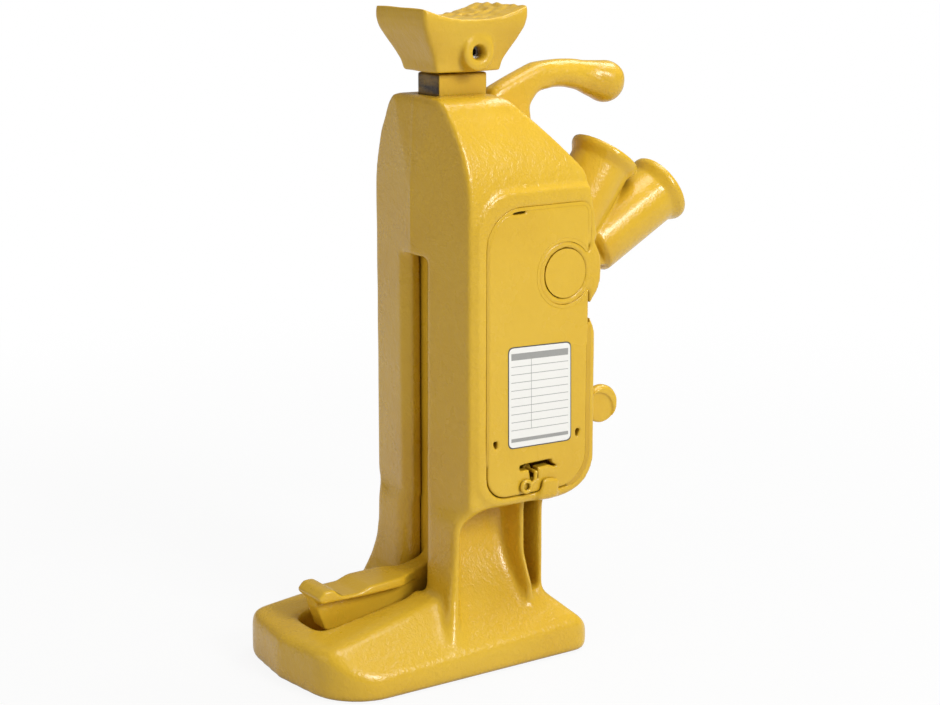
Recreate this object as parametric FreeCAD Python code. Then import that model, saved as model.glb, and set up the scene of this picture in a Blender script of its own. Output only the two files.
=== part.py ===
import FreeCAD, Part
import math
import os

V = FreeCAD.Vector

# Ratchet jack. Millimetres, +Z up. The origin is on the lifting bar's axis at
# the underside of the base. The toe points to -Y, the lever sockets to +Y, and
# the removable cover is on the +X side.

# Lifting bar with its rack teeth on the +Y face
bar_width = 29.5
bar_depth = 44.0
bar_bottom = 16.0
bar_shoulder = 453.0
bar_corner = 1.5
bar_gap = 0.6
tooth_pitch = 12.7
tooth_depth = 7.0
tooth_root = 2.2
tooth_ramp = 7.9
top_flat = 428.0
spigot_width = 18.0
spigot_depth = 30.0
spigot_height = 28.0
spigot_gap = 0.3

# Toe on the foot of the bar
toe_half = 19.0
toe_tip = -133.5
toe_underside = 59.0
toe_top = 66.5
toe_web_half = 8.0
toe_web_bottom = 26.0
toe_root_top = 77.0

# Base casting
base_half = 82.4
base_front = -160.5
base_front_corner = -151.0
base_back = 80.0
base_corner = 44.0
base_back_corner = 18.0
base_band = 16.5
base_nose = 13.0
side_slope = 0.914
side_rise = 0.0415
plateau_start = 42.0
plateau_rise = 0.165
shelf_height = 48.0
shelf_back = 48.0
pocket_half = 20.6
pocket_front = -134.0
pocket_floor = 16.0
well_floor = 12.0

# Column and housing
housing_half = 67.0
housing_top = 437.0
housing_bottom = 126.0
front_ridge = -38.5
front_edge = -28.8
lean_start = 366.0
lean_set_back = 4.3
shoulder_centre_x = 46.0
shoulder_centre_z = 355.0
shoulder_radius = 113.0
case_back = 88.0
case_round = 34.0
slot_half = 10.5
slot_top = 316.0
chamfer_top = 25.0
chamfer_foot = 19.0
side_wall = 9.5
rear_wall = 8.0
flange_half = 58.0
flange_front = -36.5
flange_back = -30.5
flange_root_back = -24.0
flange_sweep_start = 92.0
flange_spread = 38.6
flange_reach = 31.0
saddle_radius = 92.0
saddle_top = 116.0
channel_half = 25.0
mid_flange_half = 53.0
mid_flange_front = 22.0
mid_flange_back = 34.0
rear_flange_half = 55.4
rear_flange_front = 45.0
rear_flange_back = 50.0
rear_web_half = 12.0
window_half = 9.0
wide_window_half = 20.5

# Lever pivot and gear case
pivot_y = 57.5
pivot_z = 302.7
lobe_radius = 35.5
trunnion_radius = 19.0
trunnion_gap = 0.05
case_low = 141.0
case_high = 346.0
swing_half = 28.0
swing_low = 246.0

# Cover plate on the +X side
pad_step = 2.0
cover_inner = 61.0
cover_front = -14.0
cover_back = 80.0
cover_low = 134.0
cover_high = 355.0
cover_gap = 0.4
cover_corner = 18.0
cover_top_corner = 30.0
trunnion_ring = 25.5

# Lever with two sockets
hub_radius = 23.0
hub_half = 25.0
shaft_middle = 14.0
bush_outer = 16.5
lever_running_gap = 0.05
socket_bore = 17.3
socket_outer = 25.0
socket_lip = 29.0
socket_lip_length = 5.0
socket_depth = 74.0
socket_length = 88.0
lever_arm_half = 17.5
low_socket_angle = 29.6
high_socket_angle = 55.0
low_rim = (205.4, 349.4)
high_rim = (148.7, 381.8)

# Pawls and reversing gear
pawl_orbit = 26.0
pawl_orbit_angle = 219.0
pawl_boss = 7.5
pawl_length = 17.8
pawl_half = 7.5
pawl_pin = 4.5
pin_gap = 0.05
pawl_rest_angle = 123.0
pawl_swing = 32.0
pawl_spacing_pitches = 3
ear_radius = 8.0
ear_gap = 0.7
ear_width = 8.0
reverser_y = 66.0
reverser_z = 190.0
reverser_radius = 6.0
tab_y = 106.6
tab_radius = 15.3
tab_half = 3.5
tab_x = 50.0
rod_x_place = -38.0
rod_y_place = 58.0
shoe_z = 226.0

# Head on top of the bar
head_bottom = 454.0
head_bottom_half_x = 24.2
head_top_half_x = 35.5
head_bottom_half_y = 29.3
head_top_half_y = 47.0
head_shift = -0.5
head_top = 504.0
head_flare = [(0, 0), (8, 0.1), (14.6, 0.3), (24, 0.63), (33, 0.9), (40, 1.0), (54, 1.0)]
head_dip = 10.0
head_boss_radius = 14.2
head_boss_y = 3.0
head_boss_z = 469.0
head_boss_face = 33.5
head_pin_radius = 4.5
head_hole_mouth = 6.0

# Carrying handle
handle_half = 10.5
knob_radius = 16.8
knob_centre = 17.6
grip_rings = [
    (84.0, 446.4, 11.2),
    (100.0, 447.6, 11.2),
    (115.0, 446.0, 12.0),
    (128.0, 443.0, 13.8),
]


def box(x0, x1, y0, y1, z0, z1):
    return Part.makeBox(x1 - x0, y1 - y0, z1 - z0, V(x0, y0, z0))


def rod_x(y, z, radius, x0, x1):
    return Part.makeCylinder(radius, x1 - x0, V(x0, y, z), V(1, 0, 0))


def rod_z(x, y, radius, z0, z1):
    return Part.makeCylinder(radius, z1 - z0, V(x, y, z0))


def front_view(a, b, at):
    return V(a, at, b)


def side_view(a, b, at):
    return V(at, a, b)


def plan_view(a, b, at):
    return V(a, b, at)


def rounded_wire(corners, view, at):
    """Closed wire through corners (a, b, radius), each rounded to its radius."""
    joints = []
    count = len(corners)
    for i in range(count):
        before = V(corners[i - 1][0], corners[i - 1][1], 0)
        here = V(corners[i][0], corners[i][1], 0)
        after = V(corners[(i + 1) % count][0], corners[(i + 1) % count][1], 0)
        radius = corners[i][2]
        if radius <= 0:
            joints.append((here, None, here))
            continue
        back = (before - here).normalize()
        ahead = (after - here).normalize()
        half = back.getAngle(ahead) / 2
        reach = radius / math.tan(half)
        middle = (back + ahead).normalize()
        centre = here + middle * (radius / math.sin(half))
        joints.append((here + back * reach, centre - middle * radius, here + ahead * reach))
    edges = []
    for i in range(count):
        start, arc_point, end = joints[i]
        following = joints[(i + 1) % count][0]
        if arc_point is not None:
            ends = [view(p.x, p.y, at) for p in (start, arc_point, end)]
            edges.append(Part.Arc(*ends).toShape())
        if end.distanceToPoint(following) > 1e-6:
            line = Part.LineSegment(view(end.x, end.y, at), view(following.x, following.y, at))
            edges.append(line.toShape())
    return Part.Wire(edges)


def prism(corners, view, start, end):
    """Solid between two planes square to the view, from an outline of corners."""
    face = Part.Face(rounded_wire(corners, view, start))
    return face.extrude(view(0, 0, end) - view(0, 0, start))


def both_sides(corners):
    """Outline of the +X half completed with its mirror image."""
    return corners + [(-a, b, r) for a, b, r in reversed(corners) if abs(a) > 1e-6]


def inner_points(shape):
    """Points just under the middle of a body's largest faces."""
    points = []
    for face in sorted(shape.Faces, key=lambda f: -f.Area)[:8]:
        u0, u1, v0, v1 = face.ParameterRange
        u, v = (u0 + u1) / 2, (v0 + v1) / 2
        point = face.valueAt(u, v) - face.normalAt(u, v) * 0.4
        if shape.isInside(point, 0.01, False):
            points.append(point)
    return points


def covers(whole, shapes):
    """True if the fused body still holds every body that went into it."""
    if not whole.isValid():
        return False
    return all(whole.isInside(point, 0.01, True) for shape in shapes for point in inner_points(shape))


def join(shapes):
    """Fuse bodies that touch, all at once or, where that loses one of them, one after another."""
    for slack in (0.0, 0.01):
        whole = shapes[0].multiFuse(shapes[1:], slack)
        if covers(whole, shapes) and whole.Volume > max(s.Volume for s in shapes):
            return whole.removeSplitter()
    whole = shapes[0]
    for count, shape in enumerate(shapes[1:], 2):
        for slack in (0.0, 0.01, 0.03):
            step = whole.multiFuse([shape], slack)
            if covers(step, shapes[:count]) and step.Volume > whole.Volume:
                break
        whole = step
    return whole.removeSplitter()


def soften(shape, radius, chosen):
    """Round the chosen edges, with a smaller radius where the full one has no room."""
    edges = [e for e in shape.Edges if chosen(e)]
    for size in (radius, radius * 0.7, radius * 0.4):
        try:
            rounded = shape.makeFillet(size, edges)
        except Exception:
            continue
        if rounded.isValid() and rounded.Volume > 0:
            return rounded
    return shape


def mirror_x(shape):
    return shape.mirror(V(0, 0, 0), V(1, 0, 0))


def export(name, shape):
    shape.exportStep(os.path.join("parts", name + ".step"))


def base_block():
    outline = [
        (0, base_front, 0),
        (base_half, base_front_corner, base_corner),
        (base_half, base_back, base_back_corner),
        (-base_half, base_back, base_back_corner),
        (-base_half, base_front_corner, base_corner),
    ]
    block = prism(outline, plan_view, 0, 90)
    far = 300.0
    plateau_end = plateau_start + plateau_rise * (mid_flange_back + 125.0)
    plateau_tip = plateau_start + plateau_rise * (base_front - 5 + 125.0)
    top = [
        (base_front - 5, -1, 0),
        (base_front - 5, plateau_tip, 0),
        (mid_flange_back, plateau_end, 8),
        (mid_flange_back + 4, shelf_height, 4),
        (shelf_back, shelf_height, 6),
        (base_back - 1, 18.0, 5),
        (base_back + 5, 13.0, 0),
        (base_back + 5, -1, 0),
    ]
    block = block.common(prism(top, side_view, -far, far))
    sections = []
    for y in (base_front - 5, base_back + 5):
        edge = base_band + side_rise * (y + 130.0)
        peak = edge + side_slope * base_half
        half = [(base_half + 3, -1, 0), (base_half + 3, edge - 2, 0), (0, peak, 30)]
        outline = [half[0], half[1], half[2], (-half[1][0], half[1][1], 0), (-half[0][0], -1, 0)]
        sections.append(rounded_wire(outline, front_view, y))
    roof = Part.makeLoft(sections, True, True)
    block = block.common(roof)
    return soften(block, base_nose, lambda e: is_nose_edge(e))


def is_nose_edge(edge):
    """True for the edges round the top of the base's front wall."""
    bounds = edge.BoundBox
    return bounds.YMax < base_front_corner + base_corner + 1 and bounds.ZMin > 5 and bounds.YMin < -120


def front_flange():
    """Front plate of the column, sweeping into the base at its foot and the housing at its top."""
    foot_shares = (0.09, 0.16, 0.24, 0.33, 0.42, 0.51, 0.6, 0.7, 0.82, 1.0)
    foot_levels = [flange_sweep_start * share for share in foot_shares]
    crown_levels = [housing_bottom - rise for rise in (18.0, 13.0, 9.0, 5.0, 2.0)]
    sections = []
    for z in foot_levels + crown_levels + [housing_bottom + 10]:
        low = min(max((flange_sweep_start - z) / flange_sweep_start, 0.0), 1.0)
        high = min(max((z - housing_bottom + 18.0) / 18.0, 0.0), 1.0)
        half = min(flange_half + flange_spread * low ** 2, base_half - 1.4)
        half += (housing_half - flange_half - 1) * high ** 2
        front = flange_front - flange_reach * low ** 1.5 + (front_edge + 0.3 - flange_front) * high ** 2
        back = flange_back - flange_reach * low ** 1.5 + 6.0 * low + 22.0 * high ** 2
        outline = both_sides([
            (0, front_ridge + 0.3 * high, 0),
            (half, front, 2.8),
            (half, back, 2.8),
            (channel_half + 13, flange_root_back, 0),
        ])
        sections.append(rounded_wire(outline, plan_view, z))
    return Part.makeLoft(sections, True, True)


def is_side_edge(edge, beyond):
    """True for edges of the flange flanks that run up the casting."""
    bounds = edge.BoundBox
    if bounds.XMin < 0 and bounds.XMax > 0:
        return False
    if min(abs(bounds.XMin), abs(bounds.XMax)) < beyond:
        return False
    return bounds.ZLength > 15 and bounds.YLength < 3


def column():
    """Bar channel with its three flanges, from the base to the housing."""
    top = housing_bottom + 12
    parts = [front_flange()]
    parts.append(box(-channel_half, channel_half, front_ridge + 6, mid_flange_back, 10, top))
    flare = both_sides([
        (mid_flange_half, top, 0),
        (mid_flange_half, 82.0, 14),
        (mid_flange_half + 12, 56.0, 0),
        (mid_flange_half + 12, 20.0, 0),
    ])
    middle = prism(flare, front_view, mid_flange_front + 6, mid_flange_back)
    middle = soften(middle, 4.0, lambda e: is_side_edge(e, 30))
    parts.append(middle)
    for side in (1, -1):
        fillet = [(side * a, b, r) for a, b, r in [
            (channel_half - 1, mid_flange_back - 2, 0),
            (channel_half - 1, flange_root_back - 2, 0),
            (channel_half + 12, flange_root_back - 2, 0),
            (channel_half + 12, flange_root_back, 0),
            (channel_half, flange_root_back, 10),
            (channel_half, mid_flange_front + 6, 10),
            (channel_half + 12, mid_flange_front + 6, 0),
            (channel_half + 12, mid_flange_back - 2, 0),
        ]]
        parts.append(prism(fillet, plan_view, 30, top))
    parts.append(box(-rear_web_half, rear_web_half, mid_flange_back - 2, rear_flange_front + 1, 30, top))
    rear = box(-rear_flange_half, rear_flange_half, rear_flange_front, rear_flange_back, 30, top)
    rear = soften(rear, 2.0, lambda e: is_side_edge(e, 30))
    parts.append(rear)
    # Swept saddle between the channel and the sides of the base
    for side in (1, -1):
        reach = channel_half + 0.33 * saddle_radius
        saddle = box(0, reach, flange_root_back - 6, mid_flange_back - 3, 20, saddle_top)
        centre = V(channel_half + saddle_radius, -100, saddle_top)
        hollow = Part.makeCylinder(saddle_radius, 200, centre, V(0, 1, 0))
        saddle = saddle.cut(hollow)
        parts.append(saddle if side > 0 else mirror_x(saddle))
    return join(parts)


def shoulder_point(angle):
    reach = math.radians(angle)
    x = shoulder_radius * math.cos(reach) - shoulder_centre_x
    return x, shoulder_centre_z + shoulder_radius * math.sin(reach)


def arch_slab():
    """Front outline of the housing: straight sides under a pointed arch with a flat top."""
    lowest = V(housing_half, 0, housing_bottom - 4)
    spring = V(housing_half, 0, shoulder_centre_z)
    top_angle = math.degrees(math.asin((housing_top - shoulder_centre_z - 12.0) / shoulder_radius))
    high = shoulder_point(top_angle)
    half_way = shoulder_point(top_angle / 2)
    right = [
        Part.LineSegment(lowest, spring).toShape(),
        Part.Arc(spring, V(half_way[0], 0, half_way[1]), V(high[0], 0, high[1])).toShape(),
    ]
    peak = V(high[0] - 17.0, 0, housing_top)
    bend = V(high[0] - 6.6, 0, housing_top - 3.6)
    right.append(Part.Arc(V(high[0], 0, high[1]), bend, peak).toShape())
    left = [e.mirror(V(0, 0, 0), V(1, 0, 0)) for e in right]
    across = Part.LineSegment(peak, V(-peak.x, 0, peak.z)).toShape()
    floor = Part.LineSegment(V(-lowest.x, 0, lowest.z), lowest).toShape()
    wire = Part.Wire(Part.__sortEdges__(right + [across] + left + [floor]))
    slab = Part.Face(wire).extrude(V(0, 200, 0))
    slab.translate(V(0, -60, 0))
    return slab


def side_slab():
    """Side outline of the housing with the round of the lever pivot."""
    lean = front_ridge + lean_set_back
    outline = [
        (front_ridge - 2, housing_bottom, 0),
        (30.0, housing_bottom - 1, 20),
        (case_back, housing_bottom - 2, case_round),
        (case_back - 1.6, 257.0, 6),
        (79.3, 270.6, 4),
        (78.0, 318.0, 0),
        (88.5, 328.0, 4),
        (80.0, 379.0, 18),
        (24.0, housing_top, 18),
        (lean, housing_top, 4),
        (front_ridge - 2, lean_start - 30, 60),
    ]
    slab = prism(outline, side_view, -120, 120)
    lobe = rod_x(pivot_y, pivot_z, lobe_radius, -120, 120)
    return join([slab, lobe])


def plan_slab():
    outline = both_sides([
        (0, front_ridge, 0),
        (housing_half, front_edge, 3),
        (housing_half, 140.0, 0),
    ])
    return prism(outline, plan_view, 60, 480)


def housing_solid():
    return arch_slab().common(side_slab()).common(plan_slab())


def handle():
    """Carrying handle cast on the top of the housing."""
    root = prism([
        (26.0, 425.0, 0),
        (32.0, 439.0, 14),
        (50.0, 446.8, 30),
        (76.0, 457.0, 20),
        (90.0, 458.0, 0),
        (90.0, 436.4, 0),
        (76.5, 434.2, 9),
        (68.5, 424.0, 6),
        (72.0, 400.0, 0),
        (60.0, 390.0, 0),
        (26.0, 400.0, 0),
    ], side_view, -handle_half, handle_half)
    root = soften(root, 7.5, lambda e: abs(abs(e.BoundBox.XMin) - handle_half) < 0.01
                  and e.BoundBox.XLength < 0.01 and e.BoundBox.ZMax > 426)
    line = Part.BSplineCurve()
    line.interpolate([V(radius, y, z) for y, z, radius in grip_rings])
    low, high = line.FirstParameter, line.LastParameter
    rings = []
    for step in range(9):
        at = line.value(low + (high - low) * step / 8.0)
        along = line.tangent(low + (high - low) * step / 8.0)[0]
        rings.append(ring_wire(at.y, at.z, at.x, math.degrees(math.atan2(along.z, along.y))))
    y, z, radius = grip_rings[-1]
    lean = math.degrees(math.atan2(along.z, along.y))
    turn = math.radians(lean)
    for step in (-22, -8, 6, 20, 34, 48, 62, 74, 84):
        around = math.radians(step)
        reach = knob_centre + knob_radius * math.sin(around)
        place = (y + reach * math.cos(turn), z + reach * math.sin(turn))
        rings.append(ring_wire(place[0], place[1], knob_radius * math.cos(around), lean))
    grip = Part.makeLoft(rings, True, True)
    return [root, grip]


def ring_wire(y, z, radius, lean):
    turn = math.radians(lean)
    along = V(0, math.cos(turn), math.sin(turn))
    return Part.Wire([Part.Circle(V(0, y, z), along, radius).toShape()])


def slot_cuts():
    """Front slot with its flared edges, and the bar channel behind it."""
    half_x = bar_width / 2 + bar_gap
    half_y = bar_depth / 2 + bar_gap
    cuts = [box(-half_x, half_x, -half_y, half_y, well_floor, 480)]
    cuts.append(box(-slot_half, slot_half, front_ridge - 4, 0, toe_web_bottom - 8, slot_top))
    top_w, foot_w = chamfer_top, chamfer_foot
    for side in (1, -1):
        inner = slot_half - 1
        depth = front_ridge + 6.5
        low = Part.makePolygon([
            V(side * inner, depth + 2, 30), V(side * inner, front_ridge - 4, 30),
            V(side * (foot_w + 6), front_ridge - 4, 30), V(side * inner, depth + 2, 30)])
        high = Part.makePolygon([
            V(side * inner, depth + 2, slot_top), V(side * inner, front_ridge - 4, slot_top),
            V(side * (top_w + 9), front_ridge - 4, slot_top), V(side * inner, depth + 2, slot_top)])
        cuts.append(Part.makeLoft([low, high], True, True))
    return cuts


def pocket_cut():
    """Pocket in the base that takes the toe when the bar is down."""
    outline = both_sides([
        (pocket_half, pocket_front, 12),
        (pocket_half, -60.0, 10),
        (slot_half + 1.5, -44.0, 0),
        (slot_half + 1.5, -10.0, 0),
    ])
    return prism(outline, plan_view, pocket_floor, 120)


def case_cavity():
    """Hollow of the gear case behind and beside the bar."""
    left = -(housing_half - side_wall)
    back = case_back - rear_wall
    cavity = prism([
        (mid_flange_back - 3, case_low, 6),
        (back, case_low, 26),
        (back, case_high + 20, 14),
        (60.0, case_high + 36, 14),
        (mid_flange_back - 3, case_high + 36, 8),
    ], side_view, left, cover_inner)
    pockets = []
    for x0, x1 in ((channel_half, cover_inner), (left, -channel_half)):
        pockets.append(box(x0, x1, cover_front + 6, mid_flange_back, case_low + 6, case_high - 12))
    return join([cavity] + pockets)


def cover_outline(gap):
    return [
        (cover_front - gap, cover_low - gap, cover_corner),
        (cover_back + gap, cover_low - gap, cover_corner + 8),
        (cover_back + gap, cover_high + gap, 8),
        (cover_front - gap, cover_high + gap, cover_top_corner),
    ]


def cover_seat():
    """Recess for the cover, with a rim left round the case opening."""
    seat = prism(cover_outline(cover_gap), side_view, cover_inner, housing_half + 20)
    keep = rod_x(pivot_y, pivot_z, trunnion_ring, cover_inner - 1, housing_half + 21)
    link = box(cover_inner - 1, housing_half + 21, pivot_y, 100, pivot_z - 13, pivot_z + 13)
    return seat.cut(join([keep, link]))


def side_opening():
    opening = prism([
        (cover_front + 9, cover_low + 16, 12),
        (cover_back - 9, cover_low + 16, 18),
        (cover_back - 9, cover_high - 12, 6),
        (cover_front + 9, cover_high - 12, 20),
    ], side_view, cover_inner - 8, cover_inner + 1)
    return opening


def pad():
    """Raised ground round the cover seat."""
    outline = [
        (cover_front - 9, cover_low - 5, 22),
        (cover_back + 12, cover_low - 5, 34),
        (cover_back + 12, cover_high + 14, 20),
        (cover_front - 9, cover_high + 14, 34),
    ]
    raised = prism(outline, side_view, housing_half - 1, housing_half + pad_step)
    return raised.common(side_slab())


def case_fittings():
    """Ribs, bosses and lugs inside the case."""
    left = -(housing_half - side_wall)
    back = case_back - rear_wall
    fittings = []
    outer = rod_x(pivot_y, pivot_z, trunnion_ring + 2, swing_half, cover_inner)
    ring = rod_x(pivot_y, pivot_z, trunnion_ring, housing_half - 2, housing_half + pad_step)
    back_link = box(swing_half, cover_inner, pivot_y, back + 2, pivot_z - 16, pivot_z + 16)
    link = box(cover_inner - 1, housing_half + pad_step, pivot_y, back + 2, pivot_z - 13, pivot_z + 13)
    far_boss = rod_x(pivot_y, pivot_z, trunnion_ring, left - 1, -swing_half)
    far_link = box(left - 1, -swing_half, pivot_y, back + 2, pivot_z - 16, pivot_z + 16)
    fittings += [outer, ring, back_link, link, far_boss, far_link]
    pin = holding_pin()
    for side in (1, -1):
        lug = prism([
            (mid_flange_back - 4, pin[1] - 15, 0),
            (pin[0] + 9, pin[1] - 9, 6),
            (pin[0] + 9, pin[1] + 9, 8),
            (mid_flange_back - 4, pin[1] + 9, 0),
        ], side_view, window_half - 0.3, window_half + 10)
        fittings.append(lug if side > 0 else mirror_x(lug))
    floor = spring_floor()
    shelf = box(-window_half - 10, window_half + 10, mid_flange_back - 4, 53, floor - 7, floor)
    fittings.append(shelf)
    guide = box(left - 1, rod_x_place + 7, rod_y_place - 7, rod_y_place + 7, 208, 222)
    fittings.append(guide)
    bearing = rod_x(reverser_y, reverser_z, 12, left - 1, left + 8)
    fittings.append(bearing)
    drag_boss = box(left - 1, 2 - channel_half, -9, 9, shoe_z - 10, shoe_z + 10)
    fittings.append(drag_boss)
    return fittings


def spring_floor():
    """Top of the ledge under the holding pawl's spring."""
    return holding_pin()[1] - 36.0


def holding_pin():
    """Side-view place of the holding pawl's pin, a whole number of teeth under the lifting pawl's."""
    y, z = lifting_pin()
    return y, z - pawl_spacing_pitches * tooth_pitch


def lifting_pin():
    turn = math.radians(pawl_orbit_angle)
    return pivot_y + pawl_orbit * math.cos(turn), pivot_z + pawl_orbit * math.sin(turn)


def latch_lug():
    """Lug under the cover that stands over its lower edge."""
    face = housing_half + pad_step
    over = prism([
        (31.0, 127.0, 1.5),
        (51.0, 127.0, 1.5),
        (51.5, 143.0, 3),
        (36.0, 145.5, 3),
    ], side_view, face + 0.3, face + 4.0)
    root = box(housing_half - 4, face + 2, 31.5, 50.5, 127.5, cover_low - cover_gap)
    return [over, root]


def frame_cuts():
    left = -(housing_half - side_wall)
    cuts = slot_cuts()
    cuts.append(pocket_cut())
    cuts.append(box(-window_half, window_half, 15, mid_flange_back, case_low, case_high))
    rise = pivot_z - hub_radius - 11.0
    cuts.append(box(-wide_window_half, wide_window_half, bar_depth / 2 - 2, mid_flange_back, rise, case_high))
    swing = prism([
        (60.0, swing_low + 8, 0),
        (120.0, swing_low - 6, 0),
        (120.0, 352.0, 0),
        (84.0, 352.0, 8),
        (60.0, 346.0, 0),
    ], side_view, -swing_half, swing_half)
    cuts.append(swing)
    cuts.append(rod_x(pivot_y, pivot_z, trunnion_radius + trunnion_gap, swing_half - 1, housing_half + 20))
    cuts.append(rod_x(pivot_y, pivot_z, shaft_middle - 2 + trunnion_gap, left - 4, -swing_half + 1))
    pin = holding_pin()
    cuts.append(rod_x(pin[0], pin[1], pawl_pin + 0.02, -window_half - 11, window_half + 11))
    cuts.append(rod_x(reverser_y, reverser_z, reverser_radius + pin_gap, left - 3, left + 9))
    tab_slot = prism([
        (70.0, reverser_z - 24, 0),
        (100.0, reverser_z - 36, 0),
        (100.0, reverser_z + 20, 0),
        (70.0, reverser_z + 10, 0),
    ], side_view, tab_x - tab_half - 1, tab_x + tab_half + 1)
    cuts.append(tab_slot)
    cuts.append(rod_z(rod_x_place, rod_y_place, 3 + pin_gap + 0.05, 200, 246))
    cuts.append(rod_x(0, shoe_z, 5.1, left + 4.6, -bar_width / 2))
    return cuts


def frame_casting():
    body = join([base_block(), column(), housing_solid(), pad()])
    body = body.cut(case_cavity())
    body = body.cut([cover_seat(), side_opening()])
    body = join([body] + case_fittings() + latch_lug() + handle())
    body = body.cut(frame_cuts())
    return body.removeSplitter()


def tooth_outline(lowest, highest):
    """Rack outline in side view, from the lower end of the teeth to the upper end."""
    crest = bar_depth / 2
    root = crest - tooth_depth
    points = []
    level = highest
    while level - tooth_root - tooth_ramp > lowest:
        points.append((crest, level, 0))
        points.append((root, level, 0))
        points.append((root, level - tooth_root, 0))
        points.append((crest, level - tooth_root - tooth_ramp, 0))
        level -= tooth_pitch
    return points


def rack_level():
    """Flat underside of the tooth just above the lifting pawl's tip when it engages."""
    z = lifting_pin()[1]
    turn = math.radians(pawl_rest_angle + pawl_swing)
    tip = z + pawl_length * math.sin(turn)
    return tip + 0.5


def lift_bar():
    half = bar_depth / 2
    top_level = rack_level()
    while top_level + tooth_pitch < top_flat:
        top_level += tooth_pitch
    outline = [
        (-half, bar_bottom, bar_corner),
        (-half, bar_shoulder, bar_corner),
        (half, bar_shoulder, bar_corner),
    ]
    outline += tooth_outline(bar_bottom + 1.0, top_level)
    outline.append((half, bar_bottom, 0))
    bar = prism(outline, side_view, -bar_width / 2, bar_width / 2)
    corner = lambda e: (e.BoundBox.ZLength > 100 and e.BoundBox.YMax < 0)
    bar = soften(bar, bar_corner, corner)
    spigot = box(-spigot_width / 2, spigot_width / 2, -spigot_depth / 2, spigot_depth / 2,
                 bar_shoulder - 1, bar_shoulder + spigot_height)
    spigot = spigot.cut(rod_x(head_boss_y, head_boss_z, head_pin_radius + 0.02, -20, 20))
    plate = prism([
        (-half + 2, toe_underside, 0),
        (-half + 2, toe_root_top + 8, 0),
        (-half - 3, toe_root_top - 4, 9),
        (-46.0, toe_top + 1.0, 10),
        (-88.0, toe_top - 0.5, 8),
        (-98.0, toe_top - 4.0, 8),
        (-112.0, toe_top - 4.2, 8),
        (-119.5, toe_top + 2.4, 5),
        (-127.5, toe_top + 2.4, 3),
        (toe_tip, toe_underside + 4.0, 2),
        (toe_tip + 3.0, toe_underside, 1.5),
    ], side_view, -toe_half, toe_half)
    neck = both_sides([
        (0, toe_tip - 3, 0),
        (toe_half - 1.5, toe_tip - 0.5, 5),
        (toe_half, -90.0, 60),
        (toe_half - 1.5, -58.0, 20),
        (toe_web_half + 0.6, -42.0, 14),
        (toe_web_half + 0.6, -10.0, 0),
    ])
    plate = plate.common(prism(neck, plan_view, 40, 110))
    plate = soften(plate, 1.6, lambda e: e.BoundBox.ZMin > toe_underside + 1.5 and on_plate_flank(e))
    web = prism([
        (-half + 2, toe_web_bottom, 0),
        (-half + 2, toe_underside + 3, 0),
        (toe_tip + 2, toe_underside + 3, 0),
        (toe_tip + 3.5, 53.0, 4),
        (-123.0, 34.0, 5),
        (-90.0, toe_web_bottom, 20),
    ], side_view, -toe_web_half, toe_web_half)
    return join([bar, spigot, plate, web])


def on_plate_flank(edge):
    """True for the long upper edges of the toe plate."""
    return edge.BoundBox.YMax < -40 and edge.BoundBox.YLength > 3 and edge.BoundBox.XLength < 12


def dished(depth, span):
    """Cutting body for the dished top of the head."""
    radius = (span * span + depth * depth) / (2 * depth)
    return rod_x(head_shift, head_top + radius - depth, radius, -60, 60)


def head():
    """Lifting head with flared ends, dished top, serrations and pin boss."""
    rings = []
    for rise, share in head_flare:
        half_x = head_bottom_half_x + share * (head_top_half_x - head_bottom_half_x)
        half_y = head_bottom_half_y + share * (head_top_half_y - head_bottom_half_y)
        corners = both_sides([(half_x, -half_y, 3 + share), (half_x, half_y, 3 + share)])
        rings.append(rounded_wire(corners, plan_view, head_bottom + rise))
    body = Part.makeLoft(rings, True, True)
    body.translate(V(0, head_shift, 0))
    boss = rod_x(head_boss_y, head_boss_z, head_boss_radius, 0, head_boss_face)
    boss = soften(boss, 1.5, lambda e: abs(e.BoundBox.XMin - head_boss_face) < 0.01
                  and e.BoundBox.XLength < 0.01)
    body = join([body, boss])
    cuts = [dished(head_dip, head_top_half_y + 1)]
    for side in (-1, 1):
        for step in range(3):
            y = head_shift + side * (13.0 + 10.0 * step)
            z = head_top - head_dip + 0.2 + head_dip * ((y - head_shift) / head_top_half_y) ** 2
            notch = [(y - 3.0, z + 2.2, 0), (y, z - 2.2, 0), (y + 3.0, z + 2.2, 0)]
            groove = prism(notch, side_view, -50, 50)
            cuts.append(groove)
    for x in (-14.0, 14.0):
        floor = head_top - head_dip - 1.2
        groove = prism([(x - 2.5, head_top + 8, 0), (x - 2.5, floor + 1.5, 0), (x, floor, 0),
                        (x + 2.5, floor + 1.5, 0), (x + 2.5, head_top + 8, 0)], front_view, -22, 20)
        cuts.append(groove)
    gap = spigot_gap
    cuts.append(box(-spigot_width / 2 - gap, spigot_width / 2 + gap, -spigot_depth / 2 - gap,
                    spigot_depth / 2 + gap, head_bottom - 1, bar_shoulder + spigot_height + 0.5))
    cuts.append(rod_x(head_boss_y, head_boss_z, head_pin_radius + 0.02, -40, 40))
    cuts.append(rod_x(head_boss_y, head_boss_z, head_hole_mouth, head_boss_face - 4.0, 40))
    return body.cut(cuts)


def head_pin():
    """Rolled spring pin with its open seam."""
    reach = head_bottom_half_x
    outer = rod_x(head_boss_y, head_boss_z, head_pin_radius, -reach + 1.5, reach - 1.0)
    inner = rod_x(head_boss_y, head_boss_z, head_pin_radius - 1.6, -40, 40)
    seam = box(-40, 40, head_boss_y - 0.5, head_boss_y + 0.5, head_boss_z, head_boss_z + 10)
    return outer.cut([inner, seam])


def lever_axis(rim, angle):
    turn = math.radians(angle)
    return V(0, rim[0], rim[1]), V(0, math.cos(turn), math.sin(turn))


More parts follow.
